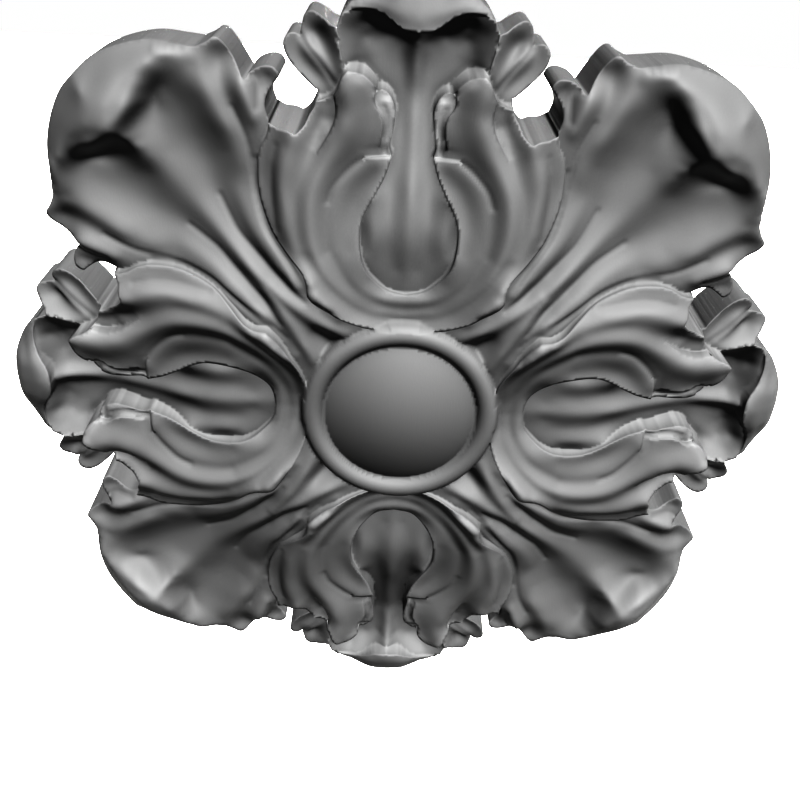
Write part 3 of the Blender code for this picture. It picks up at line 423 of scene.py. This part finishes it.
def editMode(kind):
    bpy.ops.object.mode_set(mode="EDIT")
    bpy.ops.mesh.select_mode(type=kind)


def readValues(collection, field, width=1, kind=float):
    values = np.zeros(len(collection) * width, kind)
    collection.foreach_get(field, values)
    return values.reshape(-1, width) if width > 1 else values


def storeValues(mesh, name, kind, domain, field, values):
    mesh.attributes.new(name, kind, domain).data.foreach_set(field, np.ravel(values))


def makeFlatGrid(cell):  # a flat grid over one quarter, its points in rows
    cells = int(rosette["reach"] / cell)
    side = cells * cell
    bpy.ops.mesh.primitive_grid_add(x_subdivisions=cells, y_subdivisions=cells, size=side,
                                    location=(side / 2, side / 2, 0))
    piece = bpy.context.object
    bpy.ops.object.transform_apply(location=True, rotation=True, scale=True)
    steps = np.round(readValues(piece.data.vertices, "co", 3)[:, :2] / cell).astype(int)
    grid = np.zeros((cells + 1, cells + 1), int)
    grid[steps[:, 1], steps[:, 0]] = np.arange(len(steps))
    return piece, steps * cell, grid


def carveQuarter(cell):
    # one quarter: the grid is fitted to the outlines, parted along them, raised to the carved heights and given walls
    piece, plan, grid = makeFlatGrid(cell)
    mesh = piece.data
    lineOf = np.zeros(len(plan), int)
    within = {}
    beyond = {}
    for number, (name, (outline, line)) in enumerate(carvedSteps.items(), 1):
        fitted, area = fitToOutline(plan, grid, outline, line, lineOf > 0, cell)
        lineOf[fitted] = number
        within[name] = area | fitted
        beyond[name] = area & ~fitted
    print("carved rosette: grid fitted to the outlines")
    across = plan.min(axis=1)
    along = plan.max(axis=1)
    onLine = lineOf > 0
    inner = carvedHeight(across, along, within)
    outer = inner.copy()
    outer[onLine] = carvedHeight(across[onLine], along[onLine], {name: area[onLine] for name, area in beyond.items()})
    print("carved rosette: heights worked out")
    storeValues(mesh, "inner", "FLOAT_VECTOR", "POINT", "vector", np.column_stack([plan[:, 0], -inner, plan[:, 1]]) * mm)
    storeValues(mesh, "outer", "FLOAT_VECTOR", "POINT", "vector", np.column_stack([plan[:, 0], -outer, plan[:, 1]]) * mm)
    storeValues(mesh, "line", "INT", "POINT", "value", lineOf)
    # the hollow attribute marks where painted shade darkens the cuts and a painted highlight lightens the raised edges
    storeValues(mesh, "hollow", "FLOAT", "POINT", "value", paintedShadeAndHighlightMask((inner + outer) / 2, grid, cell))
    mesh.vertices.foreach_set("co", np.column_stack([plan, np.zeros(len(plan))]).ravel())
    selectOnly(mesh, "vertices", onLine)
    editMode("VERT")
    bpy.ops.mesh.vert_connect()
    bpy.ops.object.mode_set(mode="OBJECT")
    partAlongOutlines(mesh)
    buildWalls(mesh)
    areas = readValues(mesh.attributes["areas"].data, "value", kind=int)
    centres = np.abs(readValues(mesh.polygons, "center", 3)) / mm
    kept = (areas & 2 > 0) | (np.hypot(centres[:, 0], centres[:, 2]) < rosette["leafCore"])
    selectOnly(mesh, "polygons", ~kept)
    editMode("FACE")
    bpy.ops.mesh.delete(type="FACE")
    bpy.ops.object.mode_set(mode="OBJECT")
    for name in ("inner", "outer", "line", "areas"):
        mesh.attributes.remove(mesh.attributes[name])
    return piece


def partAlongOutlines(mesh):  # splits the flat grid along the outlines and notes on each face which areas it lies in
    centres = readValues(mesh.polygons, "center", 3)
    across = centres[:, :2].min(axis=1)
    along = centres[:, :2].max(axis=1)
    lineOf = readValues(mesh.attributes["line"].data, "value", kind=int)
    ends = readValues(mesh.edges, "vertices", 2, int)
    loopEdge = readValues(mesh.loops, "edge_index", kind=int)
    loopFace = np.repeat(np.arange(len(mesh.polygons)), readValues(mesh.polygons, "loop_total", kind=int))
    faces = np.bincount(loopEdge, minlength=len(ends))
    areas = np.zeros(len(centres), int)
    parted = np.zeros(len(ends), bool)
    for number, (outline, line) in enumerate(carvedSteps.values(), 1):
        area = inside(across, along, outline)
        areas |= area.astype(int) << number
        facesInside = np.bincount(loopEdge, weights=area[loopFace], minlength=len(ends))
        onLine = (lineOf[ends] == number).all(axis=1)
        parted |= onLine & (faces == 2) & (facesInside == 1)
    storeValues(mesh, "areas", "INT", "FACE", "value", areas)
    selectOnly(mesh, "edges", parted)
    editMode("EDGE")
    bpy.ops.mesh.edge_split(type="EDGE")
    bpy.ops.object.mode_set(mode="OBJECT")


def buildWalls(mesh):  # raises each side of the splits to its own height, and draws a wall down between them
    lineOf = readValues(mesh.attributes["line"].data, "value", kind=int)
    inner = readValues(mesh.attributes["inner"].data, "vector", 3)
    outer = readValues(mesh.attributes["outer"].data, "vector", 3)
    areas = readValues(mesh.attributes["areas"].data, "value", kind=int)
    loopVertex = readValues(mesh.loops, "vertex_index", kind=int)
    loopEdge = readValues(mesh.loops, "edge_index", kind=int)
    loopFace = np.repeat(np.arange(len(mesh.polygons)), readValues(mesh.polygons, "loop_total", kind=int))
    isInside = (areas[loopFace] >> lineOf[loopVertex]) & 1
    facesInside = np.bincount(loopVertex, weights=isInside, minlength=len(lineOf))
    faces = np.bincount(loopVertex, minlength=len(lineOf))
    outerSide = facesInside == 0
    unparted = (facesInside > 0) & (facesInside < faces)
    outer[unparted] = inner[unparted] = (inner[unparted] + outer[unparted]) / 2
    mesh.attributes["inner"].data.foreach_set("vector", inner.ravel())
    mesh.attributes["outer"].data.foreach_set("vector", outer.ravel())
    mesh.vertices.foreach_set("co", np.where(outerSide[:, None], outer, inner).ravel())
    ends = readValues(mesh.edges, "vertices", 2, int)
    single = np.bincount(loopEdge, minlength=len(ends)) == 1
    sameLine = (lineOf[ends[:, 0]] == lineOf[ends[:, 1]]) & (lineOf[ends[:, 0]] > 0)
    ready = single & sameLine & ~outerSide[ends].any(axis=1)
    onBorder = (np.abs(inner[ends][:, :, 0]) < 1e-7).all(axis=1) | (np.abs(inner[ends][:, :, 2]) < 1e-7).all(axis=1)
    selectOnly(mesh, "edges", ready & ~onBorder)
    for arris in (True, False):
        before = len(mesh.vertices)
        editMode("EDGE")
        bpy.ops.mesh.extrude_edges_move()
        bpy.ops.object.mode_set(mode="OBJECT")
        places = readValues(mesh.vertices, "co", 3)
        top = readValues(mesh.attributes["inner"].data, "vector", 3)[before:]
        foot = readValues(mesh.attributes["outer"].data, "vector", 3)[before:]
        deep = np.maximum(np.abs(foot - top)[:, 1:2], 1e-9)
        share = np.minimum(0.45, rosette["arris"] * mm / deep) if arris else 1
        places[before:] = top + (foot - top) * share
        mesh.vertices.foreach_set("co", places.ravel())
        mesh.update()
    editMode("VERT")
    bpy.ops.mesh.select_all(action="SELECT")
    bpy.ops.mesh.remove_doubles(threshold=0.000005)
    bpy.ops.object.mode_set(mode="OBJECT")


def paintedShadeAndHighlightMask(heights, grid, cell, reach=2.5):
    # 0 on open faces, towards 1 in the bottom of the cuts, where it sets painted shade, and towards -1 on the raised
    # edges, where it sets a painted highlight
    field = heights[grid]
    blurred = field.copy()
    for turn in range(int(round(3 * (reach / cell) ** 2 / 4))):
        padded = np.pad(blurred, 1, mode="edge")
        blurred = (padded[:-2, 1:-1] + padded[2:, 1:-1] + padded[1:-1, :-2] + padded[1:-1, 2:]) / 4
    value = np.zeros(len(heights))
    value[grid.ravel()] = np.clip((blurred - field).ravel() / 2.0, -1, 1)
    return value


def closeBlock(piece):  # mirrors the quarter, cuts the rim straight down and closes the flat back
    mirror = piece.modifiers.new("Four quarters", "MIRROR")
    mirror.use_axis = (True, False, True)
    mirror.merge_threshold = 0.00001
    bpy.ops.object.modifier_apply(modifier=mirror.name)
    editMode("EDGE")
    bpy.ops.mesh.select_all(action="DESELECT")
    bpy.ops.mesh.select_non_manifold(extend=False, use_wire=False, use_boundary=True, use_multi_face=False,
                                     use_non_contiguous=False, use_verts=False)
    for arris in (True, False):
        bpy.ops.mesh.extrude_edges_move()
        edit = bmesh.from_edit_mesh(piece.data)
        for vert in edit.verts:
            if vert.select:
                vert.co.y = vert.co.y + rosette["arris"] * mm if arris else 0
                if not arris:
                    vert[edit.verts.layers.float["hollow"]] = 0  # the flat back has no cuts or edges, so it gets no painted shade or painted highlight
        bmesh.update_edit_mesh(piece.data)
    bpy.ops.mesh.mark_sharp()
    bpy.ops.mesh.edge_face_add()
    bpy.ops.mesh.select_all(action="SELECT")
    bpy.ops.mesh.normals_make_consistent(inside=False)
    bpy.ops.object.mode_set(mode="OBJECT")


def linearColour(hexColour):  # an sRGB hex value as Blender's linear colour
    channels = [int(hexColour[i:i + 2], 16) / 255 for i in (1, 3, 5)]
    return tuple(c / 12.92 if c <= 0.04045 else ((c + 0.055) / 1.055) ** 2.4 for c in channels) + (1.0,)


def addNode(tree, kind, settings=None, links=None):  # one node with its settings and the sockets that feed it
    node = tree.nodes.new(kind)
    for name, value in (settings or {}).items():
        if name in node.inputs and not hasattr(node, name):
            node.inputs[name].default_value = value
        else:
            setattr(node, name, value)
    for name, source in (links or {}).items():
        tree.links.new(source, node.inputs[name])
    return node


woodFinish = {
    "face": "#5e5e5e",  # mid grey stain on the open faces
    "hollow": "#535353",  # painted shade in the cuts
    "edge": "#6a6a6a",  # painted highlight on the raised edges
    "roughness": 0.7,
    "sheen": 0.25,  # how much the wax shines, against a lacquer's 0.5
    "ior": 1.45,
    "poreLength": 6.0,  # millimetres
    "poreWidth": 0.45,
    "poreDepth": 0.05,
    "toolWidth": 1.1,  # spacing of the marks a gouge leaves down the cut walls
    "toolDepth": 0.12,
}


def makeCarvedWood():
    # limewood carved, sanded and finished in a satin grey stain: soft, nearly matt, with pores showing faintly
    material = bpy.data.materials.new("satinGreyCarvedWood")
    material.use_nodes = True
    tree = material.node_tree
    tree.nodes.clear()
    place = addNode(tree, "ShaderNodeTexCoord").outputs["Object"]
    # the hollow attribute drives painted shade, darker in the cuts, and a painted highlight, lighter on the raised
    # edges
    cut = addNode(tree, "ShaderNodeAttribute", {"attribute_name": "hollow"}).outputs["Fac"]
    paintedShadeRamp = addNode(tree, "ShaderNodeValToRGB")
    stops = paintedShadeRamp.color_ramp.elements
    stops[0].position = 0.0
    stops[0].color = linearColour(woodFinish["edge"])
    stops[1].position = 1.0
    stops[1].color = linearColour(woodFinish["hollow"])
    middle = stops.new(0.5)
    middle.color = linearColour(woodFinish["face"])
    shift = addNode(tree, "ShaderNodeMapRange", {"From Min": -1.0, "From Max": 1.0}, {"Value": cut})
    tree.links.new(shift.outputs["Result"], paintedShadeRamp.inputs["Fac"])
    grain = addNode(tree, "ShaderNodeMapping", {"Scale": (1 / (woodFinish["poreWidth"] * mm), 1 / (woodFinish["poreWidth"] * mm),
                                                          1 / (woodFinish["poreLength"] * mm))}, {"Vector": place})
    pores = addNode(tree, "ShaderNodeTexNoise", {"Scale": 1.0, "Detail": 3.0, "Roughness": 0.6},
                    {"Vector": grain.outputs["Vector"]})
    bump = addNode(tree, "ShaderNodeBump", {"Strength": 0.35, "Distance": woodFinish["poreDepth"] * mm},
                   {"Height": pores.outputs["Fac"]})
    # only the walls, whose faces look sideways, keep the marks of the gouge
    sideways = addNode(tree, "ShaderNodeSeparateXYZ", None, {"Vector": addNode(tree, "ShaderNodeTexCoord").outputs["Normal"]})
    wall = addNode(tree, "ShaderNodeMapRange", {"From Min": -0.3, "From Max": -0.05}, {"Value": sideways.outputs["Y"]})
    down = addNode(tree, "ShaderNodeMapping", {"Scale": (1 / (woodFinish["toolWidth"] * mm), 0,
                                                          1 / (woodFinish["toolWidth"] * mm))}, {"Vector": place})
    marks = addNode(tree, "ShaderNodeTexNoise", {"Scale": 1.0, "Detail": 1.0}, {"Vector": down.outputs["Vector"]})
    bump = addNode(tree, "ShaderNodeBump", {"Distance": woodFinish["toolDepth"] * mm},
                   {"Strength": wall.outputs["Result"], "Height": marks.outputs["Fac"], "Normal": bump.outputs["Normal"]})
    shader = addNode(tree, "ShaderNodeBsdfPrincipled",
                     {"Roughness": woodFinish["roughness"], "IOR": woodFinish["ior"],
                      "Specular IOR Level": woodFinish["sheen"]},
                     {"Base Color": paintedShadeRamp.outputs["Color"], "Normal": bump.outputs["Normal"]})
    addNode(tree, "ShaderNodeOutputMaterial", None, {"Surface": shader.outputs["BSDF"]})
    return material


def makeRosette():
    piece = carveQuarter(rosette["cell"])
    closeBlock(piece)
    piece.name = "carvedRosetteFace"
    piece.data.name = piece.name
    bpy.ops.object.shade_smooth(keep_sharp_edges=True)
    piece.data.materials.append(makeCarvedWood())
    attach(piece, "root")
    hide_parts(rosette["node"])
    print("carved rosette: closed with", len(piece.data.polygons), "faces")
    return piece


studio = {
    "floorDrop": 1.0,  # metres below the rosette, so that its shadow falls out of the picture
    "floorSide": 12.0,
    "floor": "#f4f4f2",
    "keyFrom": (0.21, -0.523, 0.825),  # towards the light
    "keyStrength": 18.9,
    "keyAngle": 5.0,  # degrees
    "backFrom": (0.0, 1.0, 0.0),  # a weaker light that only the flat back meets
    "backStrength": 5.0,
    "backAngle": 1.0,
    "fill": 0.01,
    "cameraPlace": (-0.0058, -0.26115, 0.1365),
    "cameraAim": (0.00066, 0.0, -0.01269),
    "cameraRoll": 3.03,  # degrees
    "cameraLens": 44.45,
}


def makeStudio():
    bpy.ops.mesh.primitive_plane_add(size=studio["floorSide"], location=(0, 0, -studio["floorDrop"]))
    floor = bpy.context.object
    floor.name = "studioFloor"
    paper = bpy.data.materials.new("paleStudioPaper")
    paper.use_nodes = True
    paper.node_tree.nodes["Principled BSDF"].inputs["Base Color"].default_value = linearColour(studio["floor"])
    paper.node_tree.nodes["Principled BSDF"].inputs["Roughness"].default_value = 0.9
    floor.data.materials.append(paper)
    floor.visible_diffuse = False
    for name in ("key", "back"):
        bpy.ops.object.light_add(type="SUN")
        light = bpy.context.object
        light.name = name + "Light"
        light.data.energy = studio[name + "Strength"]
        light.data.angle = math.radians(studio[name + "Angle"])
        light.data.use_shadow = False
        light.rotation_euler = Vector(studio[name + "From"]).to_track_quat("Z", "Y").to_euler()
    world = bpy.data.worlds.new("studioAir")
    bpy.context.scene.world = world
    world.use_nodes = True
    tree = world.node_tree
    tree.nodes.clear()
    seen = addNode(tree, "ShaderNodeLightPath").outputs["Is Camera Ray"]
    fill = addNode(tree, "ShaderNodeBackground", {"Color": (1, 1, 1, 1), "Strength": studio["fill"]})
    backdrop = addNode(tree, "ShaderNodeBackground", {"Color": (1, 1, 1, 1), "Strength": 1.0})
    both = addNode(tree, "ShaderNodeMixShader")
    tree.links.new(seen, both.inputs[0])
    tree.links.new(fill.outputs[0], both.inputs[1])
    tree.links.new(backdrop.outputs[0], both.inputs[2])
    addNode(tree, "ShaderNodeOutputWorld", None, {"Surface": both.outputs[0]})
    bpy.context.scene.view_settings.view_transform = "Raw"
    bpy.context.scene.view_settings.gamma = 0.94


def makeCamera():
    bpy.ops.object.camera_add(location=studio["cameraPlace"])
    camera = bpy.context.object
    camera.data.lens = studio["cameraLens"]
    look = Vector(studio["cameraAim"]) - Vector(studio["cameraPlace"])
    turn = look.to_track_quat("-Z", "Y").to_matrix() @ Matrix.Rotation(math.radians(studio["cameraRoll"]), 3, "Z")
    camera.rotation_euler = turn.to_euler()
    camera.data.clip_start = 0.01
    camera.data.clip_end = 50
    bpy.context.scene.camera = camera


makeCamera()
makeRosette()
makeStudio()
print("studio: floor, light and camera set")
